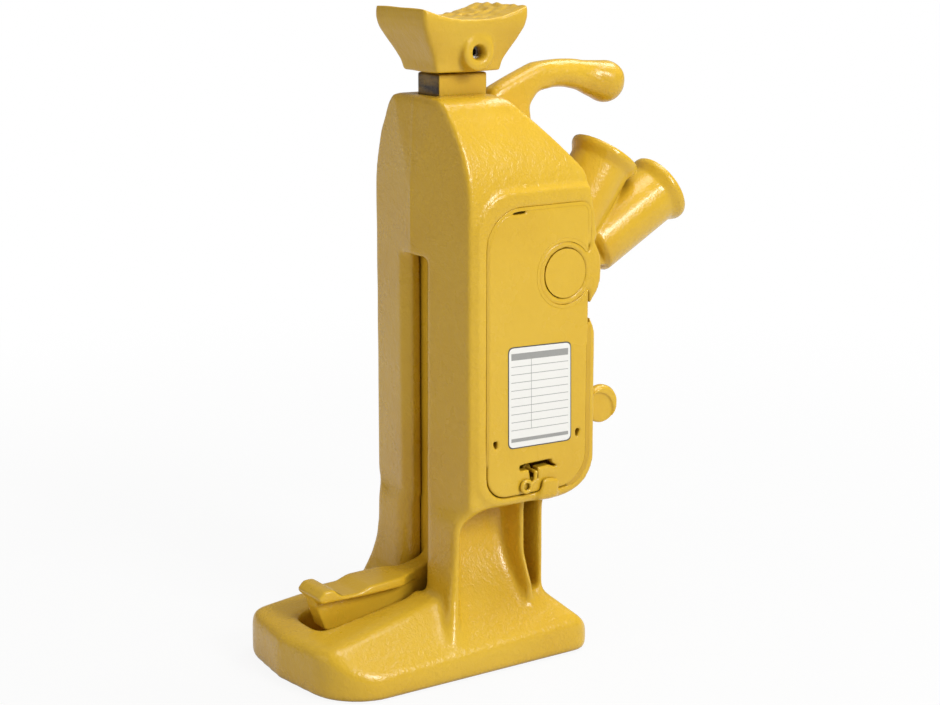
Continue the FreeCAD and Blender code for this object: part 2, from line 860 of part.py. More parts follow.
def socket_blank(rim, angle):
    """Barrel with a flared mouth, and its bore, for one lever socket."""
    turn = math.radians(angle)
    mouth = V(0, rim[0], rim[1])

    def turned(steps):
        points = [V(0, rim[0] + u, rim[1] + r) for u, r in steps]
        solid = Part.Face(Part.makePolygon(points + [points[0]])).revolve(mouth, V(0, 1, 0), 360)
        solid.rotate(mouth, V(1, 0, 0), math.degrees(turn))
        return solid

    blank = turned([
        (-socket_length, 0),
        (-socket_length, socket_outer - 4),
        (-socket_length + 4, socket_outer),
        (-socket_lip_length - 7, socket_outer),
        (-socket_lip_length, socket_lip),
        (-1.2, socket_lip),
        (0, socket_lip - 1.2),
        (0, 0),
    ])
    bore = turned([
        (-socket_depth, 0),
        (-socket_depth, socket_bore),
        (-4.4, socket_bore),
        (0, socket_bore + 4.4),
        (2, socket_bore + 4.4),
        (2, 0),
    ])
    return [blank], [bore]


def lever_socket():
    """Double socket with its hub and the ears that carry the lifting pawl."""
    solids, bores = [], []
    for rim, angle in ((low_rim, low_socket_angle), (high_rim, high_socket_angle)):
        blank, bore = socket_blank(rim, angle)
        solids += blank
        bores += bore
    low_mouth, low_along = lever_axis(low_rim, low_socket_angle)
    high_mouth, high_along = lever_axis(high_rim, high_socket_angle)
    low_end = low_mouth - low_along * (socket_length - 8)
    high_end = high_mouth - high_along * (socket_length - 8)
    arm = prism([
        (pivot_y - 9, pivot_z + hub_radius - 1, 0),
        (pivot_y + 12, pivot_z - hub_radius + 3, 0),
        (low_end.y + 7, low_end.z - 15, 8),
        (low_end.y + 10, low_end.z + 4, 0),
        (high_end.y + 10, high_end.z + 7, 0),
        (high_end.y - 14, high_end.z + 10, 8),
    ], side_view, -lever_arm_half, lever_arm_half)
    web_high = high_mouth - high_along * 30
    web_low = low_mouth - low_along * 40
    web = prism([
        (high_end.y, high_end.z, 0),
        (low_end.y, low_end.z, 0),
        (web_low.y, web_low.z, 0),
        (web_high.y, web_high.z, 0),
    ], side_view, -6, 6)
    hub = rod_x(pivot_y, pivot_z, hub_radius, -hub_half, hub_half)
    pin = lifting_pin()
    solids += [arm, web, hub]
    for side in (1, -1):
        inner = pawl_half + ear_gap
        ear = rod_x(pin[0], pin[1], ear_radius, inner, inner + ear_width)
        bridge = prism([
            (pin[0] - 6.5, pin[1] + 4.5, 0),
            (pin[0] + 4.0, pin[1] - 7.0, 0),
            (pivot_y + 6.0, pivot_z - hub_radius + 2.0, 0),
            (pivot_y - hub_radius + 4.0, pivot_z + 8.0, 0),
        ], side_view, inner, inner + ear_width)
        for piece in (ear, bridge):
            solids.append(piece if side > 0 else mirror_x(piece))
    body = join(solids)
    cuts = bores
    cuts.append(rod_x(pivot_y, pivot_z, bush_outer + 0.02, -hub_half - 1, hub_half + 1))
    cuts.append(rod_x(pin[0], pin[1], pawl_pin + 0.02, -20, 20))
    sweep = rod_x(pin[0], pin[1], pawl_length + 2, -pawl_half - ear_gap, pawl_half + ear_gap)
    cuts.append(sweep.cut(rod_x(pivot_y, pivot_z, bush_outer + 1.7, -20, 20)))
    outer = pawl_half + ear_gap + ear_width
    for x0, x1 in ((outer, hub_half + 1), (-hub_half - 1, -outer)):
        cuts.append(rod_x(pin[0], pin[1], ear_radius + 0.3, x0, x1))
    return body.cut(cuts)


def lever_bush():
    outer = rod_x(pivot_y, pivot_z, bush_outer, -hub_half, hub_half)
    return outer.cut(rod_x(pivot_y, pivot_z, shaft_middle + lever_running_gap, -30, 30))


def lever_shaft():
    """Stepped shaft that goes in from the cover side; its large end shows as a round disc."""
    left = -(housing_half - side_wall)
    journal = rod_x(pivot_y, pivot_z, trunnion_radius, swing_half, housing_half + pad_step - 0.2)
    middle = rod_x(pivot_y, pivot_z, shaft_middle, -swing_half, swing_half + 1)
    tail = rod_x(pivot_y, pivot_z, shaft_middle - 2, left - 3.5, -swing_half + 1)
    return join([journal, middle, tail])


def thrust_washers():
    thickness = swing_half - hub_half - 0.5
    pieces = []
    for x0 in (hub_half + 0.25, -hub_half - 0.25 - thickness):
        ring = rod_x(pivot_y, pivot_z, hub_radius - 1, x0, x0 + thickness)
        pieces.append(ring.cut(rod_x(pivot_y, pivot_z, shaft_middle + 0.2, x0 - 1, x0 + thickness + 1)))
    return Part.makeCompound(pieces)


def pawl(pin, tail):
    """Pawl with its nose toward the rack, turned to its place clear of the teeth."""
    reach = pawl_length
    outline = [
        (reach, 0.0, 0.4),
        (reach - 5.4, -2.5, 0),
        (reach - 9.5, -6.8, 3),
        (0.0, -pawl_boss, 0),
        (-2.0, 0.0, 0),
        (0.0, pawl_boss, 0),
        (reach - 12.0, 6.0, 5),
        (reach - 5.0, 2.2, 2),
    ]
    flat = prism(outline, plan_view, -pawl_half, pawl_half)
    boss = rod_z(0, 0, pawl_boss, -pawl_half, pawl_half)
    back = prism([(-tail, -3.0, 2.5), (-tail, 3.5, 2.5), (0, 5.5, 0), (0, -5.5, 0)], plan_view,
                 -pawl_half + 2, pawl_half - 2)
    body = join([flat, boss, back])
    body = body.cut(rod_z(0, 0, pawl_pin + pin_gap, -20, 20))
    body = stand(body)
    body.rotate(V(0, 0, 0), V(1, 0, 0), pawl_rest_angle)
    body.translate(V(0, pin[0], pin[1]))
    return body


def stand(shape):
    """Turn a body drawn on the plan so that its plan X runs along +Y and its plan Y along +Z."""
    turned = shape.copy()
    turned.rotate(V(0, 0, 0), V(1, 1, 1), 120)
    return turned


def pin_between(place, radius, half, head_radius):
    """Plain pin with a head at one end and a ring groove at the other."""
    shank = rod_x(place[0], place[1], radius, -half - 2.5, half + 0.2)
    cap = rod_x(place[0], place[1], head_radius, half + 0.2, half + 2.4)
    cap = soften(cap, 0.8, lambda e: abs(e.BoundBox.XMin - half - 2.4) < 0.01 and e.BoundBox.XLength < 0.01)
    groove = rod_x(place[0], place[1], radius + 2, -half - 1.5, -half - 0.4)
    groove = groove.cut(rod_x(place[0], place[1], radius - 0.9, -half - 2, half))
    return join([shank, cap]).cut(groove)


def clip_ring(place, radius, half):
    outer = rod_x(place[0], place[1], radius + 1.8, -half - 1.4, -half - 0.5)
    inner = rod_x(place[0], place[1], radius - 0.85, -half - 3, -half)
    mouth = box(-half - 3, -half, place[0] - 1.8, place[0] + 1.8, place[1] - 12, place[1])
    return outer.cut([inner, mouth])


def coil(bottom, height, radius, wire, turns):
    """Compression spring of square wire standing on a point."""
    pitch = (height - 2 * wire) / turns
    helix = Part.makeHelix(pitch, height - 2 * wire, radius)
    corners = [V(radius - wire, 0, -wire), V(radius + wire, 0, -wire),
               V(radius + wire, 0, wire), V(radius - wire, 0, wire)]
    section = Part.makePolygon(corners + corners[:1])
    body = Part.Wire(helix).makePipeShell([section], True, True)
    body.translate(V(bottom[0], bottom[1], bottom[2] + wire))
    return body


def reversing_shaft():
    left = -(housing_half - side_wall)
    return rod_x(reverser_y, reverser_z, reverser_radius, left - 2.5, tab_x + tab_half + 2.5)


def reversing_lever():
    """Thumb lever on the shaft, reaching out through the back of the case."""
    hub = rod_x(reverser_y, reverser_z, 11, tab_x - 7, tab_x + 3)
    arm = prism([
        (reverser_y, reverser_z + 7, 0),
        (tab_y, reverser_z + 7.5, 0),
        (tab_y, reverser_z - 7.5, 0),
        (reverser_y, reverser_z - 7, 0),
    ], side_view, tab_x - tab_half, tab_x + tab_half)
    tab = rod_x(tab_y, reverser_z, tab_radius, tab_x - tab_half, tab_x + tab_half)
    tab = soften(tab, 2.0, lambda e: e.BoundBox.XLength < 0.01)
    crescent = rod_x(tab_y, reverser_z, tab_radius - 1.5, tab_x, tab_x + tab_half + 1.8)
    crescent = crescent.cut(rod_x(tab_y - 5, reverser_z - 5, tab_radius - 0.5, tab_x - 5, tab_x + 20))
    body = join([hub, arm, tab, crescent])
    return body.cut(rod_x(reverser_y, reverser_z, reverser_radius + 0.02, 0, 80))


def trip_crank():
    """Crank on the reversing shaft that moves the trip rod."""
    hub = rod_x(reverser_y, reverser_z, 8.5, rod_x_place - 9, rod_x_place + 10)
    arm = prism([
        (reverser_y, reverser_z + 6, 0),
        (rod_y_place - 4, reverser_z + 4.5, 3),
        (rod_y_place - 4, reverser_z - 4.5, 3),
        (reverser_y, reverser_z - 6, 0),
    ], side_view, rod_x_place - 9, rod_x_place - 4)
    return join([hub, arm]).cut(rod_x(reverser_y, reverser_z, reverser_radius + 0.02, -60, 60))


def trip_rod():
    """Upright rod with a finger behind the tail of each pawl."""
    z = holding_pin()[1]
    lift = pawl_spacing_pitches * tooth_pitch
    stem = rod_z(rod_x_place, rod_y_place, 3.0, reverser_z + 9.5, z + lift - 20.0)
    pieces = [stem]
    for level in (z - 8.0, z + lift - 22.0):
        pieces.append(box(rod_x_place - 2.5, 5, rod_y_place - 2.5, rod_y_place + 2.5, level, level + 5))
        pieces.append(box(-5, 5, rod_y_place - 6.0, rod_y_place + 2.5, level, level + 5))
    return join(pieces)


def drag_shoe():
    """Friction shoe that bears on the side of the bar."""
    return rod_x(0, shoe_z, 5.0, -bar_width / 2 - 10, -bar_width / 2 - 0.05)


def drag_screw():
    left = -(housing_half - side_wall)
    body = rod_x(0, shoe_z, 5.0, left + 5, left + 11)
    slot = box(left + 4, left + 6.5, -0.8, 0.8, shoe_z - 11, shoe_z + 11)
    return body.cut(slot)


def cover_plate():
    """Cover of the gear case, with latch slot, keyholes and the round cut for the pivot."""
    face = housing_half + pad_step
    plate = prism(cover_outline(0), side_view, cover_inner, face)
    plate = soften(plate, 1.2, lambda e: abs(e.BoundBox.XMin - face) < 0.01 and e.BoundBox.XLength < 0.01)
    ring = rod_x(pivot_y, pivot_z, trunnion_ring + cover_gap, cover_inner - 2, face + 2)
    link = box(cover_inner - 2, face + 2, pivot_y, 100, pivot_z - 13 - cover_gap, pivot_z + 13 + cover_gap)
    slit = prism([(7.0, 351.2, 1), (22.0, 352.2, 1), (22.0, 354.4, 1), (7.0, 353.4, 1)], side_view,
                 cover_inner - 2, face + 2)
    bar_slot = prism([(16.0, 152.6, 1), (46.5, 153.8, 1), (46.5, 158.2, 1), (16.0, 157.4, 1)], side_view,
                     cover_inner - 2, face + 2)
    stem = prism([(26.0, 144.0, 1), (33.5, 144.0, 1), (32.5, 154.5, 0), (24.5, 154.5, 0)], side_view,
                 cover_inner - 2, face + 2)
    branch = prism([(44.0, 153.4, 0), (52.0, 150.2, 0.4), (52.4, 151.4, 0.4), (45.0, 156.0, 0)], side_view,
                   cover_inner - 2, face + 2)
    cuts = [ring, link, slit, bar_slot, stem, branch]
    for y, z, lean in ((-7.0, 176.0, 1), (71.0, 175.0, -1)):
        notch = prism([(y - 2.6, z + 3.6, 0.5), (y + 2.6, z + 3.8, 0.5), (y + 1.2 * lean, z - 4.6, 0.4)],
                      side_view, cover_inner - 2, face + 2)
        cuts.append(notch)
    hooks = [box(cover_inner - 5, cover_inner + 1, y - 6, y + 6, cover_high - 17, cover_high - 12.3)
             for y in (18, 40)]
    return join([plate.cut(cuts)] + hooks)


def latch_clip():
    """Bent wire latch with a finger eye."""
    x = housing_half + pad_step + 2.0
    wire = 1.5
    path = [V(cover_inner - 3, 29.5, 151), V(x - 0.5, 29.5, 150.5), V(x, 28.5, 144), V(x, 24.5, 141.2)]
    pieces = []
    for first, second in zip(path, path[1:]):
        along = second - first
        pieces.append(Part.makeCylinder(wire, along.Length, first, along))
        pieces.append(Part.makeSphere(wire, second))
    eye = Part.makeTorus(4.2, wire, V(x, 20.6, 140.5), V(1, 0, 0))
    anchor = rod_x(29.5, 151, 3.4, cover_inner - 5, cover_inner - 2.5)
    return join(pieces + [eye, anchor])


def drag_spring():
    """Spring behind the friction shoe, lying along X."""
    left = -(housing_half - side_wall)
    start = left + 11
    length = (-bar_width / 2 - 10) - start
    body = coil((0, 0, 0), length, 3.4, 0.6, 6)
    body.rotate(V(0, 0, 0), V(0, 1, 0), 90)
    body.translate(V(start, 0, shoe_z))
    return body


def holding_spring():
    """Spring that presses the tail of the holding pawl."""
    y, z = holding_pin()
    tail = z - 14.0 * math.sin(math.radians(pawl_rest_angle)) - 4.0
    return coil((0, y + 8.0, spring_floor()), tail - spring_floor(), 3.4, 0.7, 5)


os.makedirs("parts", exist_ok=True)
pawl_pins = {"lifting": lifting_pin(), "holding": holding_pin()}
export("frame_casting", frame_casting())
export("lift_bar", lift_bar())
export("head", head())
export("head_pin", head_pin())
export("lever_socket", lever_socket())
export("lever_bush", lever_bush())
export("lever_shaft", lever_shaft())
export("thrust_washers", thrust_washers())
export("lifting_pawl", pawl(pawl_pins["lifting"], 14.0))
export("holding_pawl", pawl(pawl_pins["holding"], 14.0))
export("lifting_pawl_pin", pin_between(pawl_pins["lifting"], pawl_pin, 16.2, 6.0))
export("holding_pawl_pin", pin_between(pawl_pins["holding"], pawl_pin, 19.0, 6.0))
export("lifting_pin_ring", clip_ring(pawl_pins["lifting"], pawl_pin, 16.2))
export("holding_pin_ring", clip_ring(pawl_pins["holding"], pawl_pin, 19.0))
export("reversing_shaft", reversing_shaft())
export("reversing_lever", reversing_lever())
export("trip_crank", trip_crank())
export("trip_rod", trip_rod())
export("drag_shoe", drag_shoe())
export("drag_screw", drag_screw())
export("drag_spring", drag_spring())
export("holding_spring", holding_spring())
export("cover_plate", cover_plate())
export("latch_clip", latch_clip())
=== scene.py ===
import math

import bmesh
import bpy
import numpy as np
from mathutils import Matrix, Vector

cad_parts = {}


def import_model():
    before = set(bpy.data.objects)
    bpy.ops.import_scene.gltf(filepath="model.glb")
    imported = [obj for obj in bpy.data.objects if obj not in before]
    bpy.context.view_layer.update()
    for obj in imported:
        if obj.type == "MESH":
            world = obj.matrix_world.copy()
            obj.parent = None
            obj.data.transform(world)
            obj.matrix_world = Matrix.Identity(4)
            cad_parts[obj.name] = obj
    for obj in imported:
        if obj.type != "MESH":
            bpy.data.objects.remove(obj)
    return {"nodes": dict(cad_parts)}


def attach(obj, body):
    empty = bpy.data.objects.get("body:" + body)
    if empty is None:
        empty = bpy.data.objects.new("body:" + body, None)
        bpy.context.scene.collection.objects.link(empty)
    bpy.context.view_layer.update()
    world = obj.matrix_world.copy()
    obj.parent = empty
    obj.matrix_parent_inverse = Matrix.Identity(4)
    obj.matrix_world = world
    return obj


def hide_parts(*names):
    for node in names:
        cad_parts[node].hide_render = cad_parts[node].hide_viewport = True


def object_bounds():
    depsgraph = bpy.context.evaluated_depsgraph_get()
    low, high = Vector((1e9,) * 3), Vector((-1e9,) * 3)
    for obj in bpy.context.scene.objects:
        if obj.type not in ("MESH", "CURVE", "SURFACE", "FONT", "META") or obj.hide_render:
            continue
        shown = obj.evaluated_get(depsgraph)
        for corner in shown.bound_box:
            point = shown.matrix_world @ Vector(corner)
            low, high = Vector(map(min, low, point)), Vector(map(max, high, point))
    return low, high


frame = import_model()
NODES = frame["nodes"]
SCENE = bpy.context.scene
CAD_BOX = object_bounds()

# Places on the part in metres: the x of the cover's face, and the (y, z) of the others
COVER_FACE = 0.069
PIVOT = (0.0575, 0.3027)
HANDLE_NECK = (0.1235, 0.4450)
HANDLE_KNOB = (0.1465, 0.4430)


def added(name, data):
    """A new object in the scene that shows this data."""
    piece = bpy.data.objects.new(name, data)
    SCENE.collection.objects.link(piece)
    return piece


# Materials
def linear(r, g, b):
    """sRGB 0-255 to the linear colour that a shader takes."""
    def one(value):
        value /= 255.0
        return value / 12.92 if value <= 0.04045 else ((value + 0.055) / 1.055) ** 2.4
    return (one(r), one(g), one(b), 1.0)


class Shade:
    """A new material, with short calls that add and link its shader nodes."""

    def __init__(self, name):
        self.material = bpy.data.materials.new(name)
        self.material.use_nodes = True
        self.tree = self.material.node_tree
        self.tree.nodes.clear()
        self.out = self.node("ShaderNodeOutputMaterial")
        self.shader = self.node("ShaderNodeBsdfPrincipled")
        self.link(self.shader.outputs[0], self.out.inputs["Surface"])
        self.coords = self.node("ShaderNodeTexCoord").outputs["Object"]

    def node(self, kind):
        return self.tree.nodes.new(kind)

    def link(self, output, socket):
        self.tree.links.new(output, socket)

    def plug(self, value, socket):
        """Links value where it is a node's output, and otherwise writes it into the socket."""
        if hasattr(value, "is_output"):
            self.link(value, socket)
        else:
            socket.default_value = value

    def noise(self, scale, detail=3.0, rough=0.5, stretch=None):
        node = self.node("ShaderNodeTexNoise")
        node.inputs["Scale"].default_value = scale
        node.inputs["Detail"].default_value = detail
        node.inputs["Roughness"].default_value = rough
        source = self.coords
        if stretch:
            mapping = self.node("ShaderNodeMapping")
            mapping.inputs["Scale"].default_value = stretch
            self.link(source, mapping.inputs["Vector"])
            source = mapping.outputs[0]
        self.link(source, node.inputs["Vector"])
        return node.outputs["Fac"]

    def ramp(self, value, stops):
        """Colour ramp over (place, colour) stops, where a single number is a grey."""
        node = self.node("ShaderNodeValToRGB")
        elements = node.color_ramp.elements
        while len(elements) < len(stops):
            elements.new(0.5)
        for element, (place, colour) in zip(elements, stops):
            element.position = place
            element.color = colour if hasattr(colour, "__len__") else (colour, colour, colour, 1)
        self.link(value, node.inputs["Fac"])
        return node.outputs["Color"]

    def mix(self, factor, first, second):
        node = self.node("ShaderNodeMix")
        node.data_type = "RGBA"
        for socket, value in ((0, factor), (6, first), (7, second)):
            self.plug(value, node.inputs[socket])
        return node.outputs[2]

    def math(self, kind, first, second=0.0):
        node = self.node("ShaderNodeMath")
        node.operation = kind
        self.plug(first, node.inputs[0])
        self.plug(second, node.inputs[1])
        return node.outputs[0]

    def times(self, first, second):
        return self.math("MULTIPLY", first, second)

    def split(self, vector):
        node = self.node("ShaderNodeSeparateXYZ")
        self.link(vector, node.inputs[0])
        return node.outputs

    def span(self, value, low, high):
        """0 at low and beyond, 1 at high and beyond, smooth between; low may be the larger one."""
        node = self.node("ShaderNodeMapRange")
        node.interpolation_type = "SMOOTHSTEP"
        self.link(value, node.inputs["Value"])
        node.inputs["From Min"].default_value = min(low, high)
        node.inputs["From Max"].default_value = max(low, high)
        node.inputs["To Min"].default_value = 0.0 if low < high else 1.0
        node.inputs["To Max"].default_value = 1.0 if low < high else 0.0
        return node.outputs["Result"]

    def uneven(self, middle, scale, amount, detail=3.0):
        """Roughness that drifts about a middle value, by amount in all."""
        return self.math("ADD", middle, self.times(self.noise(scale, detail), amount))

    def bump(self, heights):
        """heights: (socket, metres) pairs stacked into one normal."""
        normal = None
        for height, depth in heights:
            node = self.node("ShaderNodeBump")
            node.inputs["Strength"].default_value = 1.0
            node.inputs["Distance"].default_value = depth
            self.link(height, node.inputs["Height"])
            if normal is not None:
                self.link(normal, node.inputs["Normal"])
            normal = node.outputs[0]
        self.link(normal, self.shader.inputs["Normal"])

    def finished(self, **values):
        """Fills the shader's sockets by name and gives the material."""
        for name, value in values.items():
            self.plug(value, self.shader.inputs[name.replace("_", " ")])
        return self.material


YELLOW = linear(214, 173, 44)
YELLOW_DEEP = linear(197, 152, 28)
YELLOW_PALE = linear(221, 184, 60)
# Colour of painted shade in tight corners
YELLOW_CORNER_SHADE = linear(120, 84, 12)
# Colours of painted shade along the cover's left seam and its lower rim
YELLOW_SEAM_SHADE = linear(150, 108, 16)
YELLOW_RIM_SHADE = linear(186, 142, 26)
# Dark colour for grease on the rack and for painted shade on the bar's front under the head
GREASE_AND_SHADE = linear(44, 29, 10)
PRIMER = linear(120, 104, 78)

# How much of each layer shows in the paint's colour, and how near a wall the painted corner shade
# reaches, in metres
DRIFT_SHARE = 0.45
SPECK_SHARE = 0.16
CORNER_SHADE_SHARE = 0.6
CORNER_SHADE_REACH = 0.014

# Painted shade on the bar's front under the head, and grease on its rack: the shade's heights and a fade
# in metres, and how much grease shows on the rack
NECK_SHADE_BAND = (0.4200, 0.4815)
NECK_SHADE_FADE = 0.002
RACK_GREASE_TOP = (0.452, 0.446)
RACK_GREASE_SHARE = 0.85


def painted_corner_shade(shade):
    """Painted shade from ambient occlusion: 1 in tight corners and 0 on open faces."""
    corner_occlusion = shade.node("ShaderNodeAmbientOcclusion")
    corner_occlusion.inputs["Distance"].default_value = CORNER_SHADE_REACH
    corner_occlusion.samples = 8
    return shade.ramp(corner_occlusion.outputs["AO"], [(0.12, 1.0), (0.66, 0.0)])


def rubbed_edges(shade, geometry):
    """Patches along the outer edges where the paint is rubbed through."""
    edges = shade.ramp(geometry.outputs["Pointiness"], [(0.53, 0.0), (0.60, 1.0)])
    patches = shade.ramp(shade.noise(60.0, 4.0, 0.7), [(0.45, 0.0), (0.6, 1.0)])
    return shade.times(edges, patches)


def grease_and_neck_shade(shade, geometry, low, high):
    """Painted shade on the -Y side from low to high, under the head, and grease on the +Y rack up to just
    below the head.
    """
    height = shade.split(shade.coords)[2]
    facing = shade.split(geometry.outputs["Normal"])[1]
    band = shade.times(shade.span(height, low - NECK_SHADE_FADE, low),
                       shade.span(height, high + NECK_SHADE_FADE, high))
    side = shade.span(shade.times(facing, -1.0), 0.35, 0.8)
    rack = shade.times(shade.span(facing, 0.25, 0.7), shade.span(height, *RACK_GREASE_TOP))
    grease_and_shade_mask = shade.math("MAXIMUM", shade.times(band, side), shade.times(rack, RACK_GREASE_SHARE))
    smear = shade.ramp(shade.noise(34.0, 4.0, 0.65, stretch=(1.0, 1.0, 3.0)), [(0.3, 0.62), (0.62, 1.0)])
    return shade.times(grease_and_shade_mask, smear)


def paint(name, grain, peel, mottle=1.0, worn=0.0, gloss=0.27, greased_and_shaded=None, tone=YELLOW):
    """Thick yellow enamel over cast iron: sand-cast grain below, orange peel on top."""
    shade = Shade(name)
    drift = shade.ramp(shade.noise(9.0, 4.0, 0.55),
                       [(0.32, YELLOW_DEEP), (0.52, YELLOW), (0.75, YELLOW_PALE)])
    colour = shade.mix(DRIFT_SHARE * mottle, tone, drift)
    specks = shade.ramp(shade.noise(420.0, 2.0, 0.6), [(0.66, 0.0), (0.74, 1.0)])
    colour = shade.mix(shade.times(specks, SPECK_SHARE), colour, YELLOW_DEEP)
    # Painted shade: tight corners darken toward the corner-shade colour
    colour = shade.mix(shade.times(painted_corner_shade(shade), CORNER_SHADE_SHARE), colour, YELLOW_CORNER_SHADE)
    geometry = shade.node("ShaderNodeNewGeometry")
    if worn:
        colour = shade.mix(shade.times(rubbed_edges(shade, geometry), worn), colour, PRIMER)
    # Painted shade on the bar's front under the head, and grease on its rack
    if greased_and_shaded:
        colour = shade.mix(grease_and_neck_shade(shade, geometry, *greased_and_shaded), colour, GREASE_AND_SHADE)
    lumps = shade.noise(150.0, 3.0, 0.6)
    sand = shade.noise(430.0, 3.0, 0.55)
    skin = shade.noise(1100.0, 1.0, 0.4)
    shade.bump([(lumps, grain * 2.0), (sand, grain), (skin, peel)])
    return shade.finished(
        Base_Color=colour, Roughness=shade.uneven(gloss - 0.07, 38.0, 0.16),
        Specular_IOR_Level=0.36, Coat_Weight=0.22, Coat_Roughness=0.08)


def metal(name, colour, rough=0.32, scratch=0.00002, stain=0.25):
    """Machined steel or bronze with turned marks and an uneven oil film."""
    shade = Shade(name)
    oil = shade.ramp(shade.noise(70.0, 5.0, 0.6), [(0.35, 0.0), (0.7, 1.0)])
    dark = tuple(value * 0.45 for value in colour[:3]) + (1,)
    base = shade.mix(shade.times(oil, stain), colour, dark)
    shade.bump([(shade.noise(500.0, 3.0, 0.6, stretch=(1.0, 0.06, 1.0)), scratch)])
    return shade.finished(Base_Color=base, Metallic=1.0, Roughness=shade.uneven(rough - 0.08, 160.0, 0.2))


def film(name, colour, rough=0.34, fade=0.14):
    """Printed film: even ink with a slight mottle and a soft gloss."""
    shade = Shade(name)
    mottle = shade.ramp(shade.noise(700.0, 3.0, 0.6), [(0.3, 0.0), (0.8, 1.0)])
    pale = tuple(value + (1 - value) * 0.25 for value in colour[:3]) + (1,)
    base = shade.mix(shade.times(mottle, fade), colour, pale)
    shade.bump([(shade.noise(260.0, 2.0), 0.00003)])
    return shade.finished(
        Base_Color=base, Roughness=shade.uneven(rough - 0.05, 60.0, 0.1, 2.0),
        Coat_Weight=0.2, Coat_Roughness=0.1)


CASTING = paint("casting_paint", 0.00032, 0.00006)
HEAD_PAINT = paint("head_paint", 0.00028, 0.00005, mottle=1.4, worn=0.2, gloss=0.34)
PLATE = paint("plate_paint", 0.00016, 0.00005, mottle=0.9, gloss=0.25)
SOCKET_PAINT = paint("socket_paint", 0.00022, 0.00005, gloss=0.24)
BAR_PAINT = paint("bar_paint", 0.00020, 0.00004, mottle=1.2, gloss=0.28, greased_and_shaded=NECK_SHADE_BAND)
# Painted shade for the cover's left seam and its lower rim, in deeper yellows
SEAM_SHADE = paint("seam_shade_paint", 0.00016, 0.00005, mottle=1.6, gloss=0.45, tone=YELLOW_SEAM_SHADE)
RIM_SHADE = paint("rim_shade_paint", 0.00016, 0.00005, mottle=1.2, gloss=0.3, tone=YELLOW_RIM_SHADE)
STEEL = metal("machined_steel", linear(150, 150, 148))
SPRING_STEEL = metal("spring_steel", linear(112, 112, 116), 0.3, 0.00001, 0.4)
BRONZE = metal("bearing_bronze", linear(176, 130, 70))
LABEL_WHITE = film("label_white", linear(232, 231, 226))
LABEL_GREY = film("label_grey", linear(150, 150, 146))
LABEL_DARK = film("label_dark", linear(58, 56, 52))


# Softened castings
MERGE_REACH = 2e-6


def merged_copy(node, name):
    """A copy of a CAD node's mesh with its split corners merged."""
    mesh = NODES[node].data.copy()
    work = bmesh.new()
    work.from_mesh(mesh)
    bmesh.ops.remove_doubles(work, verts=work.verts, dist=MERGE_REACH)
    work.to_mesh(mesh)
    work.free()
    mesh.name = name
    return added(name, mesh)


def apply_modifiers(piece):
    """Replaces the piece's mesh by its evaluated one and drops the modifiers."""
    graph = bpy.context.evaluated_depsgraph_get()
    mesh = bpy.data.meshes.new_from_object(piece.evaluated_get(graph), depsgraph=graph)
    piece.modifiers.clear()
    piece.data = mesh


def vectors_of(mesh, what="vertices", field="co"):
    """One row of three numbers for each vertex, by default its place."""
    group = getattr(mesh, what)
    rows = np.zeros(len(group) * 3)
    group.foreach_get(field, rows)
    return rows.reshape(-1, 3)


def move_points(mesh, points):
    mesh.vertices.foreach_set("co", points.ravel())
    mesh.update()


def relax(mesh, rounds, weight, step=0.5):
    """Rounds corners: each point moves toward its neighbours' mean, as far as weight allows."""
    points = vectors_of(mesh)
    ends = np.zeros(len(mesh.edges) * 2, np.int64)
    mesh.edges.foreach_get("vertices", ends)
    a, b = ends[0::2], ends[1::2]
    size = len(points)
    count = np.bincount(a, minlength=size) + np.bincount(b, minlength=size)
    count = np.maximum(count, 1)[:, None]
    hold = weight(points)[:, None]
    for _ in range(rounds):
        total = np.stack([
            np.bincount(a, points[b, k], size) + np.bincount(b, points[a, k], size) for k in range(3)
        ], 1)
        points += (total / count - points) * step * hold
    move_points(mesh, points)


def cast_form(node, voxel, rounds, weight, share, carve):
    """The node's own shape with sand-cast rounding, carved, and thinned to a share of its triangles."""
    piece = merged_copy(node, node + "_cast")
    remesh = piece.modifiers.new("grid", "REMESH")
    remesh.mode = "VOXEL"
    remesh.voxel_size = voxel
    remesh.use_smooth_shade = True
    apply_modifiers(piece)
    relax(piece.data, rounds, weight)
    if carve:
        carve(piece.data)
    thin = piece.modifiers.new("thin", "DECIMATE")
    thin.ratio = share
    apply_modifiers(piece)
    for polygon in piece.data.polygons:
        polygon.use_smooth = True
    return piece


def ease(value, low, high):
    """0 at low and beyond, 1 at high and beyond, smooth between; low may be the larger one."""
    t = np.clip((value - low) / (high - low), 0, 1)
    return t * t * (3 - 2 * t)


def within(value, low, high):
    return (value > low) & (value < high)


# Where the bar and the mechanism run in the casting
CHANNEL_HALF, CHANNEL_Y = 0.0235, (-0.0235, 0.0345)
CASE_HALF, CASE_Y, CASE_Z = 0.0575, (0.030, 0.080), (0.139, 0.350)
SOCKET_HUB_RADIUS = 0.0225
PLATE_OUTSIDE = 0.0645
TOE_ROOT = (0.024, 0.034)


def casting_weight(points):
    """Full rounding outside, none where the mechanism runs."""
    x, y, z = points.T
    channel = within(x, -CHANNEL_HALF, CHANNEL_HALF) & within(y, *CHANNEL_Y)
    inside = within(x, -CASE_HALF, CASE_HALF) & within(y, *CASE_Y) & within(z, *CASE_Z)
    return np.where(channel | inside, 0.0, 1.0)


def even(points):
    return np.ones(len(points))


def bar_weight(points):
    """Rounds the toe, and not the rack or the bar's flanks."""
    return ease(-points[:, 1], *TOE_ROOT)


def socket_weight(points):
    """Rounds the sockets and the arm, and not the hub round the shaft."""
    away = np.hypot(points[:, 1] - PIVOT[0], points[:, 2] - PIVOT[1])
    return np.where(away < SOCKET_HUB_RADIUS, 0.0, 1.0)


